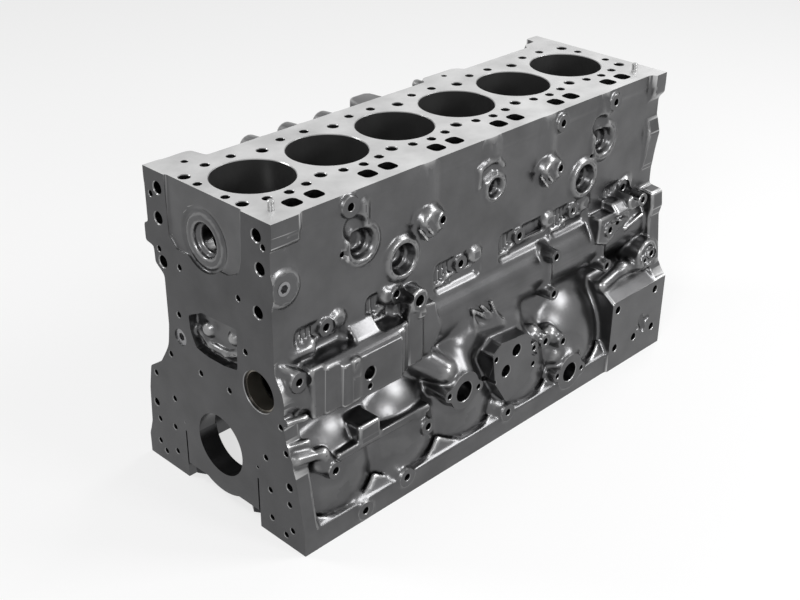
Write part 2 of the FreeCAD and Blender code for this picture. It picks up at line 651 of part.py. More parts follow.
for number, place in webs():
    for side, word in zip(SIDES, ("far", "near")):
        deck_hole("head_bolt_hole_%s_%d" % (word, number), BAY % place, "head_bolt_side * (%d)" % side,
                  "head_bolt_hole_radius", "head_bolt_hole_depth")
        drilled.append(rod("cap_bolt_hole_%s_%d" % (word, number), "z", BAY % place,
                           "cap_bolt_side * (%d)" % side, "-overrun",
                           "cap_bolt_radius + cap_bolt_clearance",
                           "cap_bolt_reach + cap_bolt_hole_run + overrun"))
for number, middle in bays():
    for turn in SIDES:
        word = "front" if turn < 0 else "rear"
        deck_hole("near_coolant_hole_%s_%d" % (word, number),
                  "%s + near_coolant_offset * (%d)" % (BAY % middle, turn), "-near_coolant_side",
                  "coolant_hole_radius", COOLANT_DEPTH)
        deck_hole("far_coolant_hole_%s_%d" % (word, number),
                  "%s + far_coolant_offset * (%d)" % (BAY % middle, turn), "far_coolant_side",
                  "coolant_hole_radius", COOLANT_DEPTH)
        drilled.append(rod("rail_screw_%s_%d" % (word, number), "z", (BAY % middle) + " + rail_screw_offset",
                           "(rail_half_width - rail_screw_inset) * (%d)" % turn,
                           "-rail_depth - overrun", "rail_screw_radius",
                           "rail_screw_depth + overrun"))
    deck_hole("near_oil_hole_%d" % number, BAY % middle, "-near_oil_hole_side", "coolant_hole_radius",
              COOLANT_DEPTH)
    drilled.append(rod("tappet_hole_%d" % number, "y", (BAY % middle) + " + tappet_boss_offset",
                       "-tappet_boss_face - overrun", "tappet_boss_height", "tappet_hole_radius",
                       "boss_hole_depth"))
for end in SIDES:
    for side in SIDES:
        deck_hole("end_coolant_hole_%d_%d" % (end + 2, side + 2),
                  "bore_spacing * end_coolant_station * (%d)" % end, "end_coolant_side * (%d)" % side,
                  "coolant_hole_radius", COOLANT_DEPTH)
for table, prefix, level, start, radius, depth in (
        (CASE_BOLTS, "case_bolt", "deck_height - %s_drop", FRONT + " - overrun", "case_bolt_radius",
         "case_bolt_depth"),
        (UPPER_CASE_SCREWS, "upper_case_screw", "deck_height - %s_drop", FRONT + " - overrun",
         "case_screw_radius", "case_screw_depth"),
        (CASE_SCREWS, "case_screw", "%s_height", FRONT + " - overrun", "case_screw_radius",
         "case_screw_depth"),
        (UPPER_REAR_BOLTS, "upper_rear_bolt", "deck_height - %s_drop", REAR + " - case_screw_depth",
         "rear_bolt_radius", "case_screw_depth"),
        (REAR_BOLTS, "rear_bolt", "%s_height", REAR + " - case_screw_depth", "rear_bolt_radius",
         "case_screw_depth")):
    for index in range(len(table)):
        key = "%s_%d" % (prefix, index)
        for side in SIDES:
            drilled.append(rod("%s_hole_%d" % (key, side + 2), "x", start, "%s_side * (%d)" % (key, side),
                               level % key, radius, depth + " + overrun"))
for name, level in all_bosses:
    drilled.append(rod(name + "_drill", "y", "bore_spacing * %s_station" % name,
                       "-%s_face - overrun" % name, level, name + "_hole", "boss_hole_depth + overrun"))
for index in range(len(BORED_BOSSES)):
    key = "bored_boss_%d_" % index
    for turn, radius, depth in ((0, key + "bore", "bored_boss_bore_depth"),
                                (-1, "bored_boss_screw_radius", "side_hole_depth"),
                                (1, "bored_boss_screw_radius", "side_hole_depth")):
        drilled.append(rod("bored_boss_hole_%d_%d" % (index, turn + 2), "y",
                           "bore_spacing * %sstation + bored_boss_ear_offset * (%d)" % (key, turn),
                           "-machined_side_face - overrun", key + "height", radius,
                           depth + " + overrun"))
for name, holes in PAD_HOLES.items():
    face = "machined_side_face" if name == "starter_pad" else name + "_face"
    for index in range(len(holes)):
        key = "%s_hole_%d_" % (name, index)
        drilled.append(rod(key + "drill", "y", "bore_spacing * " + key + "station", "-%s - overrun" % face,
                           key + "height", key + "radius", "side_hole_depth + overrun"))
for end in SIDES:
    deck_hole("head_dowel_hole_%d" % (end + 2), "bore_spacing * head_dowel_station * (%d)" % end,
              "-head_dowel_side", "head_dowel_radius + dowel_clearance", "head_dowel_seat")
drilled.append(rod("jacket_plug_hole", "y", "-bore_spacing * jacket_plug_station",
                   "-near_wall - core_rim_height - overrun", "deck_height - jacket_plug_drop",
                   "jacket_plug_radius + dowel_clearance", "jacket_plug_length + overrun * 2"))
drillings = grouped("drillings", drilled)

gallery_tools = joined("gallery_forms", [
    rod("gallery", "x", FRONT + " - overrun", "gallery_side", "gallery_height", "gallery_radius",
        LENGTH + " + overrun * 2"),
    rod("gallery_front_seat", "x", FRONT + " - overrun", "gallery_side", "gallery_height",
        "gallery_plug_radius + dowel_clearance", "gallery_plug_length + gallery_plug_recess + overrun"),
    rod("gallery_rear_seat", "x", REAR + " - gallery_plug_length - gallery_plug_recess", "gallery_side",
        "gallery_height", "gallery_plug_radius + dowel_clearance",
        "gallery_plug_length + gallery_plug_recess + overrun")])

machined = casting
for name, tool in (("bored_casting", bores), ("jacketed_casting", jacket),
                   ("cored_casting", core_openings), ("gallery_casting", gallery_tools),
                   ("cylinder_block", drillings)):
    machined = cut(name, machined, tool)
nodes = [machined]

# Main bearing caps: a half ring with feet for its bolts, narrowed below its register in the block.
for number, place in webs():
    name = "main_bearing_cap_%d" % number
    start = WEB_START % place
    web = "main_web_thickness"
    register = box(name + "_register", start, "-cap_half_width", "-cap_relief_start", web,
                   "cap_half_width * 2", "cap_relief_start")
    feet = box(name + "_feet", start, "cap_relief_width - cap_half_width", "-cap_depth", web,
               "(cap_half_width - cap_relief_width) * 2", "cap_depth")
    crown_bar = rod(name + "_bar", "x", start, 0, 0, "cap_half_width - cap_relief_width", web)
    below = box(name + "_below", start, "-cap_half_width", "-cap_half_width", web, "cap_half_width * 2",
                "cap_half_width")
    forms = [register, feet, common(name + "_crown", crown_bar, below)]
    tools = [rod(name + "_bore", "x", start + " - overrun", 0, 0, "main_bore_diameter / 2",
                 web + " + overrun * 2")]
    for side, word in zip(SIDES, ("far", "near")):
        tools.append(rod(name + "_hole_" + word, "z", BAY % place, "cap_bolt_side * (%d)" % side,
                         "-cap_depth - overrun", "cap_bolt_radius + cap_bolt_clearance",
                         "cap_depth + overrun * 2"))
    nodes.append(cut(name, joined(name + "_forms", forms), joined(name + "_tools", tools)))

# Cap bolts with a washer face and a hexagon head.
bolts = []
for number, place in webs():
    for side, word in zip(SIDES, ("far", "near")):
        name = "%s_%d" % (word, number)
        spot = (BAY % place, "cap_bolt_side * (%d)" % side)
        shank = rod("cap_bolt_shank_" + name, "z", *spot, "-cap_depth", "cap_bolt_radius",
                    "cap_depth + cap_bolt_reach")
        washer = rod("cap_bolt_washer_" + name, "z", *spot, "-cap_depth - cap_washer_thickness",
                     "cap_washer_radius", "cap_washer_thickness")
        head = hexagon("cap_bolt_head_" + name, "z", *spot,
                       "-cap_depth - cap_washer_thickness - cap_bolt_head_height",
                       "cap_bolt_head_across", "cap_bolt_head_height")
        bolts.append(joined("cap_bolt_" + name, [shank, washer, head]))
nodes.append(grouped("main_cap_bolts", bolts))

# Head dowels with a broken edge at the top.
for name, turn in (("head_dowel_front", -1), ("head_dowel_rear", 1)):
    spot = ("bore_spacing * head_dowel_station * (%d)" % turn, "-head_dowel_side")
    pin = rod(name + "_pin", "z", *spot, "deck_height - head_dowel_seat", "head_dowel_radius",
              "head_dowel_seat + head_dowel_proud - edge_break")
    tip = cone(name + "_tip", "z", *spot, "deck_height + head_dowel_proud - edge_break", "head_dowel_radius",
               "head_dowel_radius - edge_break", "edge_break")
    nodes.append(joined(name, [pin, tip]))

# Camshaft bush at the front, cup plug at the rear.
bush = rod("camshaft_bush_bar", "x", FRONT + " + cam_bush_recess", "-cam_axis_side", "cam_axis_height",
           "cam_front_bore_diameter / 2 - dowel_clearance", "cam_bush_length")
bush_bore = rod("camshaft_bush_bore", "x", FRONT, "-cam_axis_side", "cam_axis_height",
                "cam_bore_diameter / 2", "cam_bush_recess + cam_bush_length + overrun")
nodes.append(cut("camshaft_bush", bush, bush_bore))
cup = rod("camshaft_cup_bar", "x", REAR + " - cam_plug_length - cam_bush_recess", "-cam_axis_side",
          "cam_axis_height", "cam_front_bore_diameter / 2 - dowel_clearance", "cam_plug_length")
cup_space = rod("camshaft_cup_space", "x",
                REAR + " - cam_plug_length - cam_bush_recess + cam_plug_wall", "-cam_axis_side",
                "cam_axis_height", "cam_front_bore_diameter / 2 - dowel_clearance - cam_plug_wall",
                "cam_plug_length")
nodes.append(cut("camshaft_cup_plug", cup, cup_space))

# Socket plugs: both ends of the oil gallery and the water jacket at the near side.
for name, start, socket in (
        ("gallery_plug_front", FRONT + " + gallery_plug_recess",
         FRONT + " + gallery_plug_recess - overrun"),
        ("gallery_plug_rear", REAR + " - gallery_plug_recess - gallery_plug_length",
         REAR + " - gallery_plug_recess - plug_socket_depth")):
    plug = rod(name + "_bar", "x", start, "gallery_side", "gallery_height", "gallery_plug_radius",
               "gallery_plug_length")
    key_hole = hexagon(name + "_socket", "x", socket, "gallery_side", "gallery_height",
                       "plug_socket_across", "plug_socket_depth + overrun")
    nodes.append(cut(name, plug, key_hole))
plug = rod("jacket_plug_bar", "y", "-bore_spacing * jacket_plug_station",
           "-near_wall - core_rim_height + overrun", "deck_height - jacket_plug_drop",
           "jacket_plug_radius", "jacket_plug_length")
key_hole = hexagon("jacket_plug_socket", "y", "-bore_spacing * jacket_plug_station",
                   "-near_wall - core_rim_height", "deck_height - jacket_plug_drop",
                   "plug_socket_across", "plug_socket_depth + overrun")
nodes.append(cut("jacket_plug", plug, key_hole))

doc.recompute()
faulty = [item.Name for item in doc.Objects if "Invalid" in item.State or "Error" in item.State]
if faulty:
    raise SystemExit("not computed: " + ", ".join(faulty))
os.makedirs("parts", exist_ok=True)
for node in nodes:
    if node.Shape.isNull() or not node.Shape.isValid():
        raise SystemExit("not a valid shape: " + node.Label)
    node.Shape.exportStep("parts/%s.step" % node.Label)
    print(node.Label, len(node.Shape.Solids), round(node.Shape.Volume / 1000, 1), "cm3")
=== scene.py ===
import math

import bpy
import numpy as np
import openvdb
from mathutils import Matrix, Vector


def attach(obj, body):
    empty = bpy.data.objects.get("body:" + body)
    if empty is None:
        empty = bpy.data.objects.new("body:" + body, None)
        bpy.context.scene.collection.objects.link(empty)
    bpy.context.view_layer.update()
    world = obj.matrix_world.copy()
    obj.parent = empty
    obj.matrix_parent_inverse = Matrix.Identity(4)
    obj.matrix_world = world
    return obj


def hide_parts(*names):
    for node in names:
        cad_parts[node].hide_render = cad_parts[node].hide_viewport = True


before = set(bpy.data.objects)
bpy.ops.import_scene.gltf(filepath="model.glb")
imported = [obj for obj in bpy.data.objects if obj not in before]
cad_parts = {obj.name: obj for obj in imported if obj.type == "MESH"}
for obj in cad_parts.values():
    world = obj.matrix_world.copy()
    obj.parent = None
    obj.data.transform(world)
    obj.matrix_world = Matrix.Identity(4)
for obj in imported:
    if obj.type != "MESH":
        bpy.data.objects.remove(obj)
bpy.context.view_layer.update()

# Everything is worked out in millimetres and written to the meshes in metres.
MM = 0.001
SPACING = 120
BAYS = [SPACING * (number - 2.5) for number in range(6)]
WEBS = [SPACING * (number - 3) for number in range(7)]
SIDES = (-1, 1)
FRONT_FACE, REAR_FACE = -374, 382
RAIL_FOOT, RAIL_TOP, RAIL_HALF = -89, -57, 160
DECK = 352
NEAR_LIMIT, FAR_LIMIT = -163, 160
BORE_RADIUS, BORE_FOOT = 52.5, 86
CRANK_BORE = 44
CAM_Y, CAM_Z = -83, 118
GALLERY_Y, GALLERY_Z = 69, 131
# The near wall, and the flat pads that stand furthest out from it.
NEAR_WALL = -115
PAD_FACE = 163
# The crankcase wall is a dome on each side of every crank throw.
DOME_Y, DOME_Z, DOME_RADIUS = 36, -30, 118
# Forms that end in a machined face run past it, and the whole skin is trimmed there.
OVER = 6
START, END = FRONT_FACE - OVER, REAR_FACE + OVER
TOP, FOOT = DECK + OVER, RAIL_FOOT - OVER

# The cast skin is a distance field on a regular grid.
STEP = 2.0
MARGIN = 8.0
FAR_AWAY = 50.0
LOW = np.array([FRONT_FACE - MARGIN, NEAR_LIMIT - MARGIN, RAIL_FOOT - MARGIN])
HIGH = np.array([REAR_FACE + MARGIN, FAR_LIMIT + MARGIN, DECK + MARGIN])
COUNT = np.ceil((HIGH - LOW) / STEP).astype(int) + 1
AXES = [(LOW[i] + STEP * np.arange(COUNT[i])).astype(np.float32) for i in range(3)]
field = np.full(tuple(COUNT), FAR_AWAY, np.float32)


# ---------------------------------------------------------------- forms of the distance field
def window(low, high, pad):
    """Slices of the grid that cover a box, and the coordinates there, ready to broadcast."""
    slices, places = [], []
    for i in range(3):
        start = int(np.clip(np.floor((low[i] - pad - LOW[i]) / STEP), 0, COUNT[i]))
        stop = int(np.clip(np.ceil((high[i] + pad - LOW[i]) / STEP) + 1, 0, COUNT[i]))
        slices.append(slice(start, stop))
        shape = [1, 1, 1]
        shape[i] = -1
        places.append(AXES[i][start:stop].reshape(shape))
    return tuple(slices), places


def joined(a, b, blend):
    """Two distances joined with a fillet."""
    h = np.maximum(blend - np.abs(a - b), 0) / blend
    return np.minimum(a, b) - h * h * blend / 4


def shared(a, b, blend):
    """What two distances share, with a rounded edge."""
    h = np.maximum(blend - np.abs(a - b), 0) / blend
    return np.maximum(a, b) + h * h * blend / 4


def add(form, blend=5.0):
    """Join a form to the field with a fillet."""
    low, high, distance = form
    at, places = window(low, high, blend + 3 * STEP)
    field[at] = joined(field[at], distance(*places), blend)


def take(form, blend=3.0):
    """Cut a form out of the field with a rounded edge."""
    low, high, distance = form
    at, places = window(low, high, blend + 3 * STEP)
    field[at] = shared(field[at], -distance(*places), blend)


def ball(x, y, z, r):
    def distance(px, py, pz):
        return np.sqrt((px - x) ** 2 + (py - y) ** 2 + (pz - z) ** 2) - r
    return (x - r, y - r, z - r), (x + r, y + r, z + r), distance


def bar(p, q, r, s=None):
    """A rounded bar from p to q, with radius r at p and s at q."""
    p, q = np.array(p, float), np.array(q, float)
    s = r if s is None else s
    run = q - p
    size = float(run @ run)

    def distance(px, py, pz):
        along = (px - p[0]) * run[0] + (py - p[1]) * run[1] + (pz - p[2]) * run[2]
        t = np.clip(along / size, 0, 1)
        return np.sqrt((px - p[0] - t * run[0]) ** 2 + (py - p[1] - t * run[1]) ** 2
                       + (pz - p[2] - t * run[2]) ** 2) - (r + (s - r) * t)
    big = max(r, s)
    return np.minimum(p, q) - big, np.maximum(p, q) + big, distance


def rod(axis, x, y, z, r, length, soft=0.0, s=None):
    """A round bar that starts at a point and runs along an axis, with softened rims and an end radius s."""
    i = "xyz".index(axis)
    start = (x, y, z)
    s = r if s is None else s

    def distance(*p):
        u, v = [p[j] - start[j] for j in range(3) if j != i]
        along = p[i] - start[i]
        radius = r + (s - r) * np.clip(along / length, 0, 1) - soft
        out = np.sqrt(u * u + v * v) - radius
        end = np.abs(along - length / 2) - length / 2 + soft
        return (np.minimum(np.maximum(out, end), 0)
                + np.sqrt(np.maximum(out, 0) ** 2 + np.maximum(end, 0) ** 2) - soft)
    low, high = np.array(start, float) - max(r, s), np.array(start, float) + max(r, s)
    low[i], high[i] = start[i], start[i] + length
    return low, high, distance


def block(low, high, soft=0.0):
    """A box with rounded edges."""
    middle = [(a + b) / 2 for a, b in zip(low, high)]
    half = [(b - a) / 2 - soft for a, b in zip(low, high)]

    def distance(*p):
        q = [np.abs(p[i] - middle[i]) - half[i] for i in range(3)]
        inside = np.minimum(np.maximum(q[0], np.maximum(q[1], q[2])), 0)
        return inside + np.sqrt(sum(np.maximum(e, 0) ** 2 for e in q)) - soft
    return low, high, distance


def slab(axis, outline, start, stop):
    """A plate with a straight-sided outline in the plane across the given axis."""
    i = "xyz".index(axis)
    j, k = [n for n in range(3) if n != i]
    points = np.array(outline, float)

    def distance(*p):
        u, v = np.broadcast_arrays(p[j], p[k])
        u, v = u.astype(np.float64), v.astype(np.float64)
        near = np.full(u.shape, 1e12)
        sign = np.ones(u.shape)
        for (ax, ay), (bx, by) in zip(points, np.roll(points, -1, 0)):
            ex, ey = bx - ax, by - ay
            wx, wy = u - ax, v - ay
            t = np.clip((wx * ex + wy * ey) / (ex * ex + ey * ey), 0, 1)
            near = np.minimum(near, (wx - ex * t) ** 2 + (wy - ey * t) ** 2)
            above, below = v >= ay, v < by
            side = ex * wy > ey * wx
            sign = np.where((above & below & side) | (~above & ~below & ~side), -sign, sign)
        flat = (sign * np.sqrt(near)).astype(np.float32)
        end = np.abs(p[i] - (start + stop) / 2) - (stop - start) / 2
        return (np.minimum(np.maximum(flat, end), 0)
                + np.sqrt(np.maximum(flat, 0) ** 2 + np.maximum(end, 0) ** 2))
    low, high = np.zeros(3), np.zeros(3)
    low[i], high[i] = start, stop
    low[j], low[k] = points.min(0)
    high[j], high[k] = points.max(0)
    return low, high, distance


def rib(points, r, blend=4):
    """A rounded rib through several points."""
    for p, q in zip(points, points[1:]):
        add(bar(p, q, r), blend)


# Screw holes are cut with crisp tools once the skin is made: axis, way, point, radius, depth, bevel.
drills = []
# Machined faces on bosses of the near wall: place, radius, distance from the crank axis.
faces = []


def near_hole(x, z, face, r, depth=22, bevel=0.8):
    drills.append(("y", 1, (x, -face, z), r, depth, bevel))


def front_hole(y, z, r, depth, bevel=0.8):
    drills.append(("x", 1, (FRONT_FACE, y, z), r, depth, bevel))


def deck_hole(x, y, r, depth, bevel):
    drills.append(("z", -1, (x, y, DECK), r, depth, bevel))


def near_boss(x, z, face, r, hole, depth=22, flare=2.0):
    """A boss that stands out from the near wall to a machined face with a hole."""
    root, over = -100, 3
    add(rod("y", x, -face - over, z, r, root + face + over, 0.0, r + flare), 6)
    faces.append(((x, z), r + 1.5, face))
    near_hole(x, z, face, hole, depth)


def far_boss(x, y, z, r, face, hole):
    """A tapered boss with a hole on the far wall, which starts inside the wall at y."""
    add(rod("y", x, y, z, r, face - y, 2, r - 2), 6)
    drills.append(("y", -1, (x, face, z), hole, 20, 0.8))


# ---------------------------------------------------------------- body
FRONT_OUTLINE = [
    (NEAR_WALL, TOP), (-111, 202), (-85, 190), (-82, 180), (-86, 159), (-94, 155), (-117, 141),
    (-126, 123), (-128, 90), (-133, 58), (-147, 22), (-152, -9), (-160, -55), (-160, FOOT),
    (-100, FOOT), (-100, -73), (-80, -71), (-75, -65), (75, -65), (99, FOOT), (160, FOOT),
    (160, -60), (152, -35), (149, 21), (142, 58), (117, 75), (90, 117), (87, 139), (89, 210),
    (109, 224), (110, 246), (126, 249), (126, 273), (118, 277), (118, TOP)]
REAR_OUTLINE = [
    (-124, TOP), (-124, 322), (-118, 315), (-88, 295), (-88, 281), (-117, 280), (-123, 259),
    (-115, 207), (-106, 188), (-108, 173), (-139, 170), (-142, 145), (-138, 129), (-142, 91),
    (-146, 53), (-160, 29), (-160, FOOT), (160, FOOT), (160, 10), (146, 53), (142, 91),
    (128, 125), (110, 150), (110, 200), (122, 215), (122, 262), (112, 280), (112, 300),
    (122, 315), (122, TOP)]
BODY_OUTLINE = [
    (NEAR_WALL, TOP), (NEAR_WALL, 130), (-110, 95), (-109, 60), (-118, -40), (-118, -58),
    (-118, FOOT), (118, FOOT), (118, -58), (118, -40), (112, 60), (97, 105), (92, 140),
    (92, 215), (108, 245), (108, 324), (89, 338), (89, TOP)]
DECK_OUTLINE = [
    (START, -119), (-331, -119), (-326, NEAR_WALL), (352, NEAR_WALL), (358, -122), (END, -122),
    (END, 104), (332, 104), (324, 93), (178, 91), (171, 101), (163, 105), (104, 105),
    (97, 100), (92, 90), (-298, 89), (-304, 112), (-312, 117), (START, 117)]
DECK_THICKNESS, FRONT_THICKNESS, REAR_THICKNESS = 19, 24, 26


def make_shell():
    """Body, flanges, camshaft tunnel and the domes round the crank throws."""
    add(slab("x", BODY_OUTLINE, START, END), 1)
    for x in BAYS:
        for side in SIDES:
            add(ball(x, side * DOME_Y, DOME_Z, DOME_RADIUS), 7)
    add(rod("x", START, CAM_Y, CAM_Z, 47, END - START), 7)
    add(slab("z", DECK_OUTLINE, DECK - DECK_THICKNESS, TOP), 5)
    add(slab("x", FRONT_OUTLINE, START, FRONT_FACE + FRONT_THICKNESS), 5)
    add(slab("x", REAR_OUTLINE, REAR_FACE - REAR_THICKNESS, END), 5)


def make_rail():
    """The plate under the domes, scalloped by them, and the pan rail."""
    scallop, edge, root = DOME_RADIUS + 3.5, 5, 4
    for side in SIDES:
        outline = [(side * 100, -24), (side * 137.5, -25.5), (side * 157, RAIL_TOP), (side * 157, -75),
                   (side * 100, -75)]
        low, high, distance = slab("x", outline, START, END)
        at, places = window(low, high, 3 * STEP)
        plate = distance(*places)
        for x in BAYS:
            plate = shared(plate, -ball(x, side * DOME_Y, DOME_Z, scallop)[2](*places), edge)
        field[at] = joined(field[at], plate, root)
        inner, outer = sorted((side * 100, side * RAIL_HALF))
        add(block((START, inner, FOOT), (END, outer, RAIL_TOP), 1.5), 1)


def hollow_bays():
    """The crank chambers, the camshaft tunnel between its bearings, and the room for the pan."""
    half = (SPACING - 28) / 2
    for x in BAYS:
        for y in (-DOME_Y, DOME_Y):
            take(rod("x", x - half, y, DOME_Z, 100, 2 * half, 10), 6)
        take(rod("x", x - half, 0, 0, 106, 2 * half, 10), 6)
        take(block((x - half, -126, FOOT), (x + half, 126, -12), 8), 4)
        take(rod("x", x - half, CAM_Y, CAM_Z, 33, 2 * half, 6), 4)
    take(block((FRONT_FACE + FRONT_THICKNESS, -126, FOOT), (REAR_FACE - REAR_THICKNESS, 126, -65), 4), 2)


# ---------------------------------------------------------------- near wall
def make_near_wall():
    """What stands out from the upper wall on the near side."""
    add(block((START, -119, 318), (-330, -100, TOP), 2), 4)
    pilaster_face = 119.5
    for x, foot, r in ((-117, 288, 35), (2, 318, 35), (119, 300, 35), (247, 322, 26)):
        add(bar((x, r - pilaster_face, foot), (x, r - pilaster_face, 340), r), 4)
    near_boss(-254, 336, 122, 13, 5)
    near_boss(144, 334, 122, 12, 5)
    near_boss(264, 334, 122, 12, 5)
    add(bar((-228, -108, 330), (-228, -108, 306), 12), 4)
    # Round bosses of the core holes, with a scoop above each end one.
    for x, z, r, proud in ((-231, 279, 29, 3), (-164, 236, 30, 7), (205, 234, 30, 7), (249, 279, 29, 3),
                           (12, 279, 20, 3)):
        add(rod("y", x, NEAR_WALL - proud, z, r, 30, proud * 0.8, r + 4), 5)
    for x, z, r in ((-243, 303, 17), (240, 303, 17)):
        take(ball(x, -120, z, r), 4)
    take(bar((-8, -121, 302), (6, -121, 306), 11), 3)
    rib([(-20, -114, 288), (-21, -115, 312), (-4, -116, 321), (14, -115, 318), (26, -114, 306)], 4.5, 3)
    # The holes themselves are stepped.
    for x, z, r in ((-231, 279, 18), (-164, 236, 18), (205, 234, 18), (249, 279, 18), (12, 277, 12)):
        take(rod("y", x, -130, z, r + 4, 16, 1, r + 2), 2)
        take(rod("y", x, -130, z, r, 22, 1), 1.5)
        take(rod("y", x, -130, z, r - 4, 32, 5), 2)
    for x, z in ((-263, 275), (187, 191), (222, 260)):
        near_hole(x, z, -NEAR_WALL, 3.5, 14)
    # Ribbed lumps under the pilasters.
    for x, z in ((-117, 272), (121, 272)):
        add(rod("y", x, -129, z, 20, 25, 8, 27), 6)
        take(bar((x - 14, -134, z - 4), (x - 4, -134, z - 16), 9), 3)
        for step in (-1, 0, 1):
            rib([(x - 17 + 9 * step, -126, z + 6 + 6 * step),
                 (x - 4 + 9 * step, -130, z - 13 + 6 * step)], 2.6, 1.5)
        near_boss(x + 16, z, 128, 10, 5)
    # Round boss with its plug near the front.
    add(rod("y", -356, -119, 265, 24, 20, 3, 28), 4)
    take(rod("y", -356, -125, 265, 16, 7.5, 0.5), 1.5)
    # Pockets above the camshaft tunnel, one to each bay, with their ends before and behind the bore.
    reaches = ((-40, 40), (-43, 4), (-40, 49), (-31, 84), (-36, 46), (-36, 30))
    for x, (left, right) in zip(BAYS, reaches):
        make_pocket(x, left, right)


def make_pocket(x, left, right):
    """A cast pocket with a screw boss, a lump at its rear end, thin ribs and a wavy lip."""
    foot, top, floor = 158, 201, -107
    take(block((x + left, -130, foot), (x + right, floor, top), 9), 4)
    near_boss(x + 6, 190, 119, 11, 5, 18)
    add(rod("y", x + right - 13, -121, 193, 12, 14, 6, 15), 5)
    for place in range(left + 10, min(0, left + 42), 8):
        rib([(x + place, -110, foot + 8), (x + place, -109, top - 4)], 2.4, 2)
    rib([(x + left + 3, -112, 170), (x + left + 16, -112, 170), (x + left + 24, -113, 178),
         (x + right - 20, -113, 178), (x + right - 12, -113, 186)], 3, 3)


def make_tunnel_parts():
    """Facets, pads, straps and ribs on the camshaft tunnel."""
    # Flat facet and the front pad, which is stepped.
    add(slab("x", [(-108, 176), (NEAR_WALL, 176), (-131, 160), (-131, 150), (-100, 150)], -257, -214), 2)
    add(block((-336, -138, 84), (-170, -90, 157), 3), 5)
    add(block((-318, -143, 86), (-180, -90, 154), 3), 4)
    add(block((-296, -150, 88), (-192, -100, 150), 3), 4)
    add(block((-282, -152.5, 92), (-268, -100, 152), 2), 2)
    take(slab("x", [(-160, 150), (-146, 160), (-160, 160)], -300, -190), 2)
    take(bar((-262, -156, 150), (-276, -156, 132), 5), 3)
    near_hole(-251, 121, 150, 9, 24, 1.2)
    near_hole(-251, 102, 150, 4, 16)
    # Boss near the front with its flanks.
    near_boss(-350, 143, 132, 13, 5)
    rib([(-366, -112, 162), (-352, -126, 152)], 6, 5)
    rib([(-368, -116, 118), (-330, -124, 104)], 9, 9)
    add(bar((-345, -108, 168), (-318, -112, 170), 10), 6)
    # Strap that carries the sensor hole, with its curved flank.
    add(block((-167, -134, 84), (-139, -95, 178), 3), 4)
    add(slab("y", [(-140, 164), (-112, 160), (-104, 125), (-108, 100), (-122, 88), (-140, 88)],
             -130, -95), 5)
    add(rod("y", -151, -138, 179, 16, 36, 2, 18), 5)
    near_hole(-151, 179, 138, 7.5, 26, 1)
    near_boss(-178, 192, 124, 9, 4, 16)
    add(block((-152, -139, 152), (-138, -110, 164), 1.5), 2)
    # Fan of thin ribs.
    for x, z in ((-45, 122), (-26, 121), (-7, 121), (-40, 90)):
        rib([(13, -133, 81), (x, -134, z)], 3, 2)
    rib([(-45, -134, 122), (-38, -134, 90)], 2.5, 2)
    near_hole(13, 81, 134, 4.5, 16)
    # Straps between the pairs of cover screws.
    for x in (121, 247):
        add(bar((x, -126, 90), (x, -126, 145), 8), 6)
        for z in (88, 147):
            near_boss(x, z, 144, 10, 5)
    # Pads and bosses at the rear end of the tunnel.
    near_boss(278, 147, 146, 11, 5)
    add(slab("y", [(228, 168), (300, 168), (306, 140), (250, 120), (226, 128)], -138, -95), 5)
    take(block((252, -160, 128), (300, -134, 152), 5), 3)
    add(rod("y", 300, -146, 176, 13, 40, 2), 5)
    near_boss(316, 176, 150, 10, 5)
    add(slab("x", [(-110, 180), (-132, 180), (-146, 166), (-110, 150)], 262, 290), 2)
    add(rod("y", 346, -150, 73, 24, 46, 3, 27), 6)
    take(rod("y", 346, -158, 73, 17, 14, 3), 2)
    near_boss(356, 73, 150, 8, 5)
    near_boss(340, 66, 150, 6, 3.5)
    rib([(305, -130, 126), (345, -132, 138)], 3.5, 3)
    rib([(251, -134, 50), (300, -134, 62), (330, -136, 58)], 10, 10)


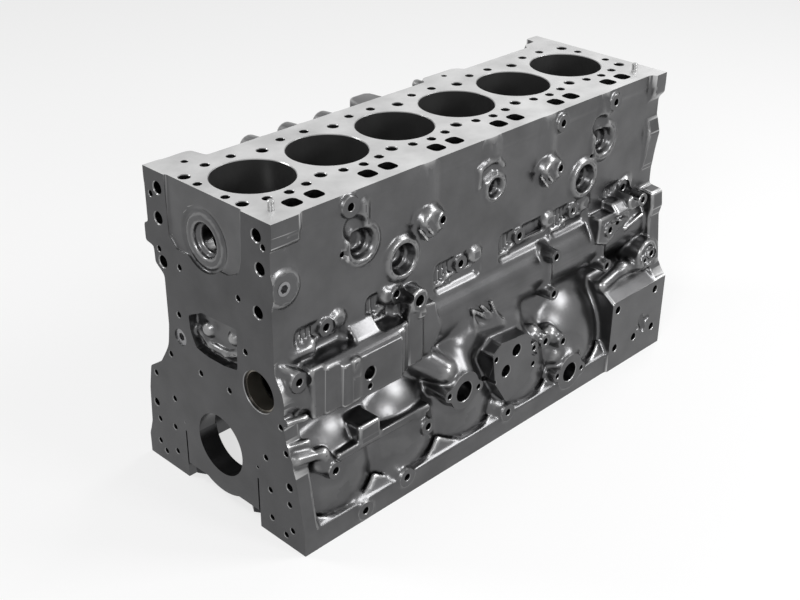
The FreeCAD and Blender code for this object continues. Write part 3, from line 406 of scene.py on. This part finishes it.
def make_crankcase_parts():
    """Ledge, pads, bored bosses and screw bosses on the domes and the rail."""
    add(block((-306, -150, 14), (-140, -100, 26), 2), 3)
    add(block((-270, -150, 20), (-232, -100, 48), 4), 5)
    for x, z in ((-360, 96), (-358, 60), (-358, 52)):
        add(bar((x - 20, -130, z), (x + 12, -138, z), 4.5), 4)
    rib([(-366, -140, 44), (-330, -146, 40), (-322, -148, 22)], 7, 8)
    # Screw bosses, each with a lump on its front upper side.
    for x, z, face, r, hole in ((-318, 12, 158, 12, 5), (-152, -2, 158, 12, 5), (-272, -72, PAD_FACE, 12, 5),
                                (-196, -59, PAD_FACE, 13, 5), (8, -52, PAD_FACE, 13, 5),
                                (88, 30, 160, 11, 5), (130, 13, 160, 11, 5), (62, 30, 160, 9, 4)):
        near_boss(x, z, face, r, hole)
        add(ball(x - 10, -face + 22, z + 9, 15), 8)
    # Bored bosses with an ear on each side.
    for x, z in ((-88, 26), (148, -46)):
        add(bar((x + 12, -112, z + 22), (x + 3, -150, z + 4), 40, 27), 8)
        add(bar((x - 36, -108, z + 44), (x - 18, -138, z + 30), 24, 18), 9)
        near_boss(x, z, PAD_FACE, 26, 15, 34, flare=0)
        for ear in (-29, 29):
            near_boss(x + ear, z + ear * -0.17, PAD_FACE, 9, 4, flare=3)
    # Cooler pad on its rounded block.
    add(bar((-44, -96, 74), (40, -96, 60), 44), 12)
    outline = [(-32, 57), (-15, 70), (40, 65), (62, 36), (69, 8), (40, -20), (2, -32), (-24, 8)]
    add(slab("y", outline, -PAD_FACE - 3, -100), 6)
    for x, z, r in ((19, 46, 9), (-2, 21, 9), (-24, 48, 4), (-26, 11, 4), (54, 45, 4), (58, 7, 4)):
        near_hole(x, z, PAD_FACE, r, 26)
    # Pad beside the rear flange, with the sloping top.
    outline = [(-100, 64), (-146, 42), (-PAD_FACE - 3, 28), (-PAD_FACE - 3, FOOT), (-100, FOOT)]
    add(slab("x", outline, 246, END), 5)
    take(bar((326, -166, -24), (334, -166, -46), 8), 3)
    take(bar((316, -166, -38), (344, -166, -30), 6), 3)
    for x, z in ((260, 15), (261, -52), (310, -52), (358, -52), (357, 15)):
        near_hole(x, z, PAD_FACE, 6, 26)


# ---------------------------------------------------------------- front, rear, deck and far side
FRONT_SCREWS = [
    (107, 318), (99, 246), (59, 234), (-104, 318.6), (-54, 235), (68.5, 164), (93.5, 96), (131.6, 51),
    (31, 94), (-26, 94), (94, 27), (132.7, -23), (98.6, -20), (136.6, -60.5), (124, -72), (98, -59),
    (-62, 165), (-122, 85.5), (-130, 51), (-91, 26), (-97, -20), (-133, -24), (-98, -62.5),
    (-124.5, -75), (-137, -62)]


def make_front():
    """Shallow recess round the core hole, the cast pocket under it, and the holes."""
    recess = [(-68, TOP), (-64, 287), (-58, 268), (-37, 258), (62, 258), (76, 272), (77, TOP)]
    take(slab("x", recess, START, FRONT_FACE + 3), 1)
    core_y, core_z = 8, 287
    take(rod("x", START, core_y, core_z, 41, OVER + 5.5, 1), 1)
    add(rod("x", FRONT_FACE + 2, core_y, core_z, 36, 6, 1), 1)
    take(rod("x", START, core_y, core_z, 22.5, OVER + 10, 1), 1)
    take(rod("x", START, core_y, core_z, 17, OVER + 34, 5), 1)
    pocket = [(-48, 190), (-45, 132), (-20, 127), (14, 126), (37, 130), (46, 150), (48, 172), (20, 186)]
    take(slab("x", pocket, START, FRONT_FACE + 13), 3)
    rib([(FRONT_FACE + 12, -44, 150), (FRONT_FACE + 10, -14, 138), (FRONT_FACE + 10, 16, 138),
         (FRONT_FACE + 12, 42, 150)], 5, 4)
    for y, z, r in ((-26, 164, 9), (22, 158, 11), (34, 148, 7)):
        add(ball(FRONT_FACE + 14, y, z, r), 4)
    for y, z in ((92, 330), (95, 289), (93, 230), (-93, 330), (-97, 289), (-90, 230)):
        front_hole(y, z, 8, 34, 1.2)
    for y, z in FRONT_SCREWS:
        front_hole(y, z, 4, 20)
    for y, z in ((137, 2), (-134, 3)):
        front_hole(y, z, 5.5, 20, 1)
    for y, z in ((-74, 3), (73.5, -2)):
        front_hole(y, z, 2, 12, 0.5)


def make_rear():
    """Screw holes for the flywheel housing."""
    for y, z in ((100, 335), (105, 240), (125, 110), (148, 10), (148, -60), (50, 240), (62, 165), (95, 25)):
        for side in SIDES:
            drills.append(("x", -1, (REAR_FACE, side * y, z), 5, 20, 1))


def make_deck():
    """Head bolt, water and oil holes in the deck."""
    for x in WEBS:
        for y in (-54, 54):
            deck_hole(x, y, 7.25, 60, 1)
    for x in BAYS:
        for y, run in ((-62, 30), (66, 20)):
            for side in SIDES:
                deck_hole(x + side * run, y, 6, 18, 0.5)
        deck_hole(x, -66, 6, 18, 0.5)
    for x in (-362, 364):
        for y in (-26, 26):
            deck_hole(x, y, 5.5, 18, 0.3)


def make_far_side():
    """Lumps and lugs just under the deck, and what such a block has on the wall below."""
    under = 347
    for x, r, face in ((-211, 15, 120), (-146, 15, 122), (-84, 16, 120)):
        add(rod("y", x, 80, under - r, r + 3, face - 80, 3, r), 6)
        drills.append(("y", -1, (x, face, under - r), 6, 20, 0.8))
    add(slab("z", [(-32, 85), (22, 85), (16, 124), (8, 130), (-16, 130), (-24, 124)], 300, under), 5)
    add(rod("y", 105, 80, 339, 7.5, 43, 1), 4)
    add(rod("y", 330, 80, 338, 9, 24, 1), 4)
    add(block((-330, 80, 250), (-304, 116, TOP), 4), 4)
    add(block((104, 80, 318), (166, 104, 340), 4), 6)
    deck_hole(133, 91, 4, 16, 0.5)
    deck_hole(-331, 92, 4.5, 16, 0.5)
    # The wall below isn't in the photograph: stiffening ribs up from the crankcase, and screw bosses.
    for x in WEBS[1:-1]:
        rib([(x, 113, 44), (x, 98, 110), (x, 92, 190)], 7, 8)
    for x in BAYS:
        far_boss(x, 80, 272, 13, 116, 5)
        far_boss(x, 80, 128, 12, 108, 5)


make_shell()
make_rail()
make_near_wall()
make_tunnel_parts()
make_crankcase_parts()
make_front()
make_rear()
make_deck()
make_far_side()
hollow_bays()


# ---------------------------------------------------------------- from the field to a mesh
def softened(grid):
    """One pass of a three-point average along each axis, which rounds the cast edges."""
    for axis in range(3):
        front = np.roll(grid, 1, axis)
        back = np.roll(grid, -1, axis)
        grid = (front + back) * np.float32(0.25) + grid * np.float32(0.5)
    return grid


def skin_mesh(name):
    """The surface of the field, where the distance is zero."""
    grid = openvdb.FloatGrid()
    grid.background = 3 * STEP
    grid.copyFromArray(np.clip(softened(field), -3 * STEP, 3 * STEP).astype(np.float32))
    points, triangles, quads = grid.convertToPolygons(isovalue=0.0, adaptivity=0.0)
    points = (points * STEP + LOW.astype(np.float32)) * MM
    corners = [tuple(int(i) for i in face) for face in triangles]
    corners += [tuple(int(i) for i in face) for face in quads]
    mesh = bpy.data.meshes.new(name)
    mesh.from_pydata([tuple(map(float, p)) for p in points], [], corners)
    mesh.update()
    return mesh


def new_object(name, data):
    item = bpy.data.objects.new(name, data)
    bpy.context.scene.collection.objects.link(item)
    return item


def applied(item):
    """Apply every modifier and keep the result as the object's own mesh."""
    depsgraph = bpy.context.evaluated_depsgraph_get()
    mesh = bpy.data.meshes.new_from_object(item.evaluated_get(depsgraph))
    item.modifiers.clear()
    old = item.data
    item.data = mesh
    bpy.data.meshes.remove(old)


# A tool is a closed part, given as points in millimetres and the corners of its faces.
def turned(axis, x, y, z, rings, sides=32):
    """A turned tool: rings of (distance along the axis, radius), closed at both ends."""
    i = "xyz".index(axis)
    j, k = [(1, 2), (2, 0), (0, 1)][i]
    points = []
    for along, radius in rings:
        for n in range(sides):
            turn = 2 * math.pi * n / sides
            p = [x, y, z]
            p[i] += along
            p[j] += radius * math.cos(turn)
            p[k] += radius * math.sin(turn)
            points.append(p)
    corners = [tuple(reversed(range(sides)))]
    for ring in range(len(rings) - 1):
        for n in range(sides):
            a, b = ring * sides + n, ring * sides + (n + 1) % sides
            corners.append((a, b, b + sides, a + sides))
    corners.append(tuple(range(len(points) - sides, len(points))))
    return points, corners


def brick(low, high):
    (a, b, c), (d, e, f) = low, high
    points = [(x, y, z) for x in (a, d) for y in (b, e) for z in (c, f)]
    corners = [(0, 1, 3, 2), (4, 6, 7, 5), (0, 4, 5, 1), (2, 3, 7, 6), (0, 2, 6, 4), (1, 5, 7, 3)]
    return points, corners


def drill(axis, way, point, r, depth, bevel):
    """A drilled hole with a bevelled mouth and the cone of the drill at its foot."""
    rings = [(-3, r + bevel + 3), (bevel, r), (depth, r), (depth + r * 0.55, 0.05)]
    if way < 0:
        rings = [(-along, radius) for along, radius in reversed(rings)]
    return turned(axis, *point, rings, 28)


def opening(x, y):
    """A square push-rod opening in the deck with rounded corners."""
    half, corner, foot, top = 11, 7, 262, DECK + 5
    points = []
    for turn in range(4):
        for step in range(5):
            angle = math.pi / 2 * (turn + step / 4)
            cx = (half - corner) * (1 if turn in (0, 3) else -1)
            cy = (half - corner) * (1 if turn in (0, 1) else -1)
            points.append((x + cx + corner * math.cos(angle), y + cy + corner * math.sin(angle)))
    n = len(points)
    corners = [tuple(reversed(range(n))), tuple(range(n, 2 * n))]
    corners += [(i, (i + 1) % n, (i + 1) % n + n, i + n) for i in range(n)]
    return [(px, py, foot) for px, py in points] + [(px, py, top) for px, py in points], corners


def solid(parts):
    """One mesh from several tools."""
    points, corners = [], []
    for part_points, part_corners in parts:
        start = len(points)
        points += [tuple(c * MM for c in p) for p in part_points]
        corners += [tuple(start + i for i in face) for face in part_corners]
    mesh = bpy.data.meshes.new("tool")
    mesh.from_pydata(points, [], corners)
    mesh.update()
    return mesh


def carve(item, parts, operation="DIFFERENCE"):
    tool = new_object("tool", solid(parts))
    modifier = item.modifiers.new("cut", "BOOLEAN")
    modifier.operation = operation
    modifier.solver = "MANIFOLD"
    modifier.object = tool
    applied(item)
    mesh = tool.data
    bpy.data.objects.remove(tool)
    bpy.data.meshes.remove(mesh)


def grouped(tools):
    """Sort tools into groups in which no two touch, so that each group can be cut at once."""
    groups = []
    for part in tools:
        points = np.array(part[0])
        low, high = points.min(0) - 0.5, points.max(0) + 0.5
        for group in groups:
            if all((high < other_low).any() or (low > other_high).any()
                   for other_low, other_high, _ in group):
                group.append((low, high, part))
                break
        else:
            groups.append([(low, high, part)])
    return [[part for _, _, part in group] for group in groups]


SKIN_TRIANGLES = 150000
PAST = 5
THROUGH = REAR_FACE - FRONT_FACE

casting = new_object("block_casting", skin_mesh("block_casting"))
casting.data.calc_loop_triangles()
thin = casting.modifiers.new("thin", "DECIMATE")
thin.ratio = min(1.0, SKIN_TRIANGLES / len(casting.data.loop_triangles))
applied(casting)
carve(casting, [brick((FRONT_FACE, NEAR_LIMIT, RAIL_FOOT), (REAR_FACE, FAR_LIMIT, DECK))], "INTERSECT")

# Machined boss faces, screw holes and push-rod openings.
for group in grouped([turned("y", x, -face - 30, z, [(0, r), (30, r)], 40) for (x, z), r, face in faces
                      if face < PAD_FACE]):
    carve(casting, group)
for group in grouped([drill(*hole) for hole in drills]):
    carve(casting, group)
carve(casting, [opening(x + side * 17, -90.5) for x in BAYS for side in SIDES])

# Cylinder bores, the gap that the bearing caps fill, and the long bores with their bearing seats.
bore_height = DECK - BORE_FOOT
carve(casting, [turned("z", x, 0, BORE_FOOT, [(0, BORE_RADIUS), (bore_height - 1, BORE_RADIUS),
                                              (bore_height + 4, BORE_RADIUS + 5)], 64) for x in BAYS])
carve(casting, [brick((FRONT_FACE - PAST, -75, RAIL_FOOT - PAST), (REAR_FACE + PAST, 75, 0))])
crank_bore = turned("x", FRONT_FACE - PAST, 0, 0, [(0, CRANK_BORE), (THROUGH + 2 * PAST, CRANK_BORE)], 64)
cam_bore = turned("x", FRONT_FACE - PAST, CAM_Y, CAM_Z,
                  [(0, 34), (PAST, 29), (6, 28), (31, 28), (31.1, 25.5), (THROUGH - 11, 25.5),
                   (THROUGH - 10.9, 28), (THROUGH + PAST, 28), (THROUGH + 2 * PAST, 33)], 56)
front_seat = turned("x", FRONT_FACE - PAST, GALLERY_Y, GALLERY_Z,
                    [(0, 17), (PAST, 12.1), (21, 12.1), (22, 7)], 32)
rear_seat = turned("x", REAR_FACE - 17, GALLERY_Y, GALLERY_Z,
                   [(0, 7), (1, 12.1), (17, 12.1), (22, 17)], 32)
carve(casting, [crank_bore, cam_bore, front_seat, rear_seat])
plug_seat = turned("y", -356.4, -125, 265, [(0, 9.1), (18, 9.1)], 28)
dowel_seats = [turned("z", x, -90, DECK - 13, [(0, 4.1), (18, 4.1)], 24) for x in (-348, 348)]
carve(casting, [plug_seat] + dowel_seats)
casting.data.validate()


# ---------------------------------------------------------------- materials
def edge_wear_and_highlight(nodes, links, source, amount):
    """Lighten the raised edges of a casting with a painted highlight, which is partly edge wear from
    handling and blasting.
    """
    geometry = nodes.new("ShaderNodeNewGeometry")
    edges = nodes.new("ShaderNodeMapRange")
    edges.inputs["From Min"].default_value = 0.505
    edges.inputs["From Max"].default_value = 0.57
    edges.inputs["To Max"].default_value = amount
    mix = nodes.new("ShaderNodeMix")
    mix.data_type = "RGBA"
    factor, first, second, mixed = mix.inputs[0], mix.inputs[6], mix.inputs[7], mix.outputs[2]
    # The grey that the raised edges are lightened towards: the painted highlight.
    second.default_value = (0.5, 0.5, 0.5, 1)
    links.new(geometry.outputs["Pointiness"], edges.inputs["Value"])
    links.new(edges.outputs["Result"], factor)
    links.new(source, first)
    return mixed


def material(name, colour, metallic, roughness, wear_and_highlight=0.0):
    """Metal with a cloudy tone and a fine grain."""
    item = bpy.data.materials.new(name)
    item.use_nodes = True
    nodes, links = item.node_tree.nodes, item.node_tree.links
    shader = nodes["Principled BSDF"]
    shader.inputs["Metallic"].default_value = metallic
    shader.inputs["Roughness"].default_value = roughness
    place = nodes.new("ShaderNodeTexCoord")
    cloud = nodes.new("ShaderNodeTexNoise")
    cloud.inputs["Scale"].default_value = 22
    cloud.inputs["Detail"].default_value = 6
    ramp = nodes.new("ShaderNodeValToRGB")
    for stop, position, share in zip(ramp.color_ramp.elements, (0.3, 0.7), (0.85, 1.15)):
        stop.position = position
        stop.color = [c * share for c in colour] + [1]
    grain = nodes.new("ShaderNodeTexNoise")
    grain.inputs["Scale"].default_value = 900
    grain.inputs["Detail"].default_value = 3
    bump = nodes.new("ShaderNodeBump")
    bump.inputs["Strength"].default_value = 0.12
    bump.inputs["Distance"].default_value = 0.0004
    links.new(place.outputs["Object"], cloud.inputs["Vector"])
    links.new(place.outputs["Object"], grain.inputs["Vector"])
    links.new(cloud.outputs["Fac"], ramp.inputs["Fac"])
    tone = ramp.outputs["Color"]
    # Raised edges lightened: a painted highlight, partly edge wear.
    if wear_and_highlight:
        tone = edge_wear_and_highlight(nodes, links, tone, wear_and_highlight)
    links.new(tone, shader.inputs["Base Color"])
    links.new(grain.outputs["Fac"], bump.inputs["Height"])
    links.new(bump.outputs["Normal"], shader.inputs["Normal"])
    return item


cast_skin = material("cast_skin", (0.1, 0.1, 0.102), 1.0, 0.28)
# Cast skin with its raised edges lightened: a painted highlight, partly edge wear.
cast_edge_highlight = material("cast_edge_highlight", (0.1, 0.1, 0.102), 1.0, 0.28, wear_and_highlight=0.8)
# The deck and the end faces are one machined finish. The deck's pale colour is partly its own lighter
# machined colour and partly a painted reflection of the bright sky. The end faces' colour, darker than the
# cast skin, is painted shade.
machined_deck_and_sheen = material("machined_deck_and_sheen", (0.53, 0.53, 0.53), 0.7, 0.45)
machined_face_and_shade = material("machined_face_and_shade", (0.065, 0.065, 0.067), 0.9, 0.3)
honed_bore = material("honed_bore", (0.06, 0.06, 0.06), 0.6, 0.3)
plug_steel = material("plug_steel", (0.22, 0.22, 0.225), 0.9, 0.3)
dowel_steel = material("dowel_steel", (0.42, 0.42, 0.42), 0.95, 0.22)
bolt_steel = material("bolt_steel", (0.035, 0.035, 0.037), 0.9, 0.34)
bush_steel = material("bush_steel", (0.19, 0.175, 0.15), 0.9, 0.32)

# The casting's finishes by face: cast, deck, end faces, bores, and the raised edges that carry a painted
# highlight, partly edge wear.
SKIN, TOP_FACE, END_FACE, BORE, HIGHLIT_EDGE = range(5)
FLAT_AREA = 4e-5
casting.data.materials.clear()
for item in (cast_skin, machined_deck_and_sheen, machined_face_and_shade, honed_bore, cast_edge_highlight):
    casting.data.materials.append(item)


def in_bore(place):
    return any(abs(math.hypot(place.x - x * MM, place.y) - BORE_RADIUS * MM) < MM for x in BAYS)


for face in casting.data.polygons:
    centre, normal = face.center, face.normal
    face.use_smooth = True
    # The deck takes the pale colour that partly paints a reflection, and the end faces take the dark one
    # that paints shade.
    if normal.z > 0.999 and centre.z > (DECK - 0.5) * MM:
        face.material_index = TOP_FACE
    elif abs(normal.x) > 0.999 and (centre.x < (FRONT_FACE + 0.5) * MM or centre.x > (REAR_FACE - 0.5) * MM):
        face.material_index = END_FACE
    elif abs(normal.z) < 0.1 and centre.z > 80 * MM and in_bore(centre):
        face.material_index = BORE
    # Small curved faces take the skin with the painted edge highlight.
    elif face.area < FLAT_AREA and max(abs(c) for c in normal) < 0.995:
        face.material_index = HIGHLIT_EDGE
casting.data.set_sharp_from_angle(angle=math.radians(38))

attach(casting, "root")
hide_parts("cylinder_block")
# The bearing caps take the dark machined colour, which paints shade.
NODE_FINISHES = {"main_bearing_cap": machined_face_and_shade, "main_cap_bolts": bolt_steel,
                 "head_dowel": dowel_steel, "camshaft_bush": bush_steel}
for name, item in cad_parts.items():
    if name == "cylinder_block":
        continue
    finish = next((kind for start, kind in NODE_FINISHES.items() if name.startswith(start)), plug_steel)
    for slot in item.material_slots:
        slot.material = finish

# ---------------------------------------------------------------- camera, floor, light
camera_data = bpy.data.cameras.new("camera")
camera_data.sensor_width = 36
camera_data.lens = 57.4
camera_data.shift_x = -0.00544
camera_data.shift_y = -0.00125
camera_data.clip_start = 0.05
camera_data.clip_end = 50
camera = new_object("camera", camera_data)
right = Vector((0.699468, -0.714585, 0.010655))
down = Vector((-0.335623, -0.341613, -0.877871))
forward = Vector((0.630953, 0.610467, -0.478778))
camera.matrix_world = Matrix.Translation(Vector((-1.179986, -1.105062, 0.951464))) @ Matrix(
    (right, -down, -forward)).transposed().to_4x4()
bpy.context.scene.camera = camera


def seen_directly(nodes, links):
    """One for rays that show the background: from the camera, off metal or through glass."""
    rays = nodes.new("ShaderNodeLightPath")
    seen = rays.outputs["Is Camera Ray"]
    for ray in ("Is Glossy Ray", "Is Transmission Ray"):
        more = nodes.new("ShaderNodeMath")
        more.operation = "MAXIMUM"
        links.new(seen, more.inputs[0])
        links.new(rays.outputs[ray], more.inputs[1])
        seen = more.outputs[0]
    return seen


def floor_finish(glow_share):
    """Pale matt floor that shows nearly white and keeps the object's shadow."""
    item = bpy.data.materials.new("floor")
    item.use_nodes = True
    nodes, links = item.node_tree.nodes, item.node_tree.links
    shader = nodes["Principled BSDF"]
    shader.inputs["Base Color"].default_value = (0.9, 0.9, 0.9, 1)
    shader.inputs["Roughness"].default_value = 0.9
    shader.inputs["Specular IOR Level"].default_value = 0
    share = nodes.new("ShaderNodeMath")
    share.operation = "MULTIPLY"
    share.inputs[1].default_value = glow_share
    mix = nodes.new("ShaderNodeMixShader")
    links.new(seen_directly(nodes, links), share.inputs[0])
    links.new(share.outputs[0], mix.inputs["Fac"])
    links.new(shader.outputs["BSDF"], mix.inputs[1])
    links.new(nodes.new("ShaderNodeEmission").outputs["Emission"], mix.inputs[2])
    links.new(mix.outputs["Shader"], nodes["Material Output"].inputs["Surface"])
    return item


floor_mesh = bpy.data.meshes.new("floor")
reach = 12
floor_mesh.from_pydata([(x, y, RAIL_FOOT * MM) for x, y in ((-reach, -reach), (reach, -reach),
                                                            (reach, reach), (-reach, reach))],
                       [], [(0, 1, 2, 3)])
floor = new_object("floor", floor_mesh)
floor_mesh.materials.append(floor_finish(0.7))

LAMP_DISTANCE = 2.6
LAMP_AIM = Vector((0, 0, 0.15))


def soft_box(name, direction, size, power):
    """A square lamp that faces the object from a direction."""
    data = bpy.data.lights.new(name, "AREA")
    data.shape = "SQUARE"
    data.size = size
    data.energy = power
    lamp = new_object(name, data)
    way = Vector(direction).normalized()
    lamp.location = way * LAMP_DISTANCE + LAMP_AIM
    lamp.rotation_euler = way.to_track_quat("Z", "Y").to_euler()


soft_box("side_box", (0.58, -0.57, 0.58), 0.9, 33)
soft_box("front_box", (-0.48, 0.61, 0.63), 0.6, 16)
soft_box("corner_box", (-0.75, -0.42, 0.52), 0.6, 22)
soft_box("low_box", (0.15, -0.93, 0.34), 0.6, 22)
soft_box("back_box", (0.63, 0.1, 0.77), 0.6, 12)

world = bpy.data.worlds.new("world")
bpy.context.scene.world = world
world.use_nodes = True
nodes, links = world.node_tree.nodes, world.node_tree.links
background = nodes["Background"]
background.inputs["Color"].default_value = (1, 1, 1, 1)
level = nodes.new("ShaderNodeMapRange")
level.inputs["To Min"].default_value = 0.25
level.inputs["To Max"].default_value = 1.0
links.new(seen_directly(nodes, links), level.inputs["Value"])
links.new(level.outputs["Result"], background.inputs["Strength"])
bpy.context.scene.view_settings.view_transform = "Standard"
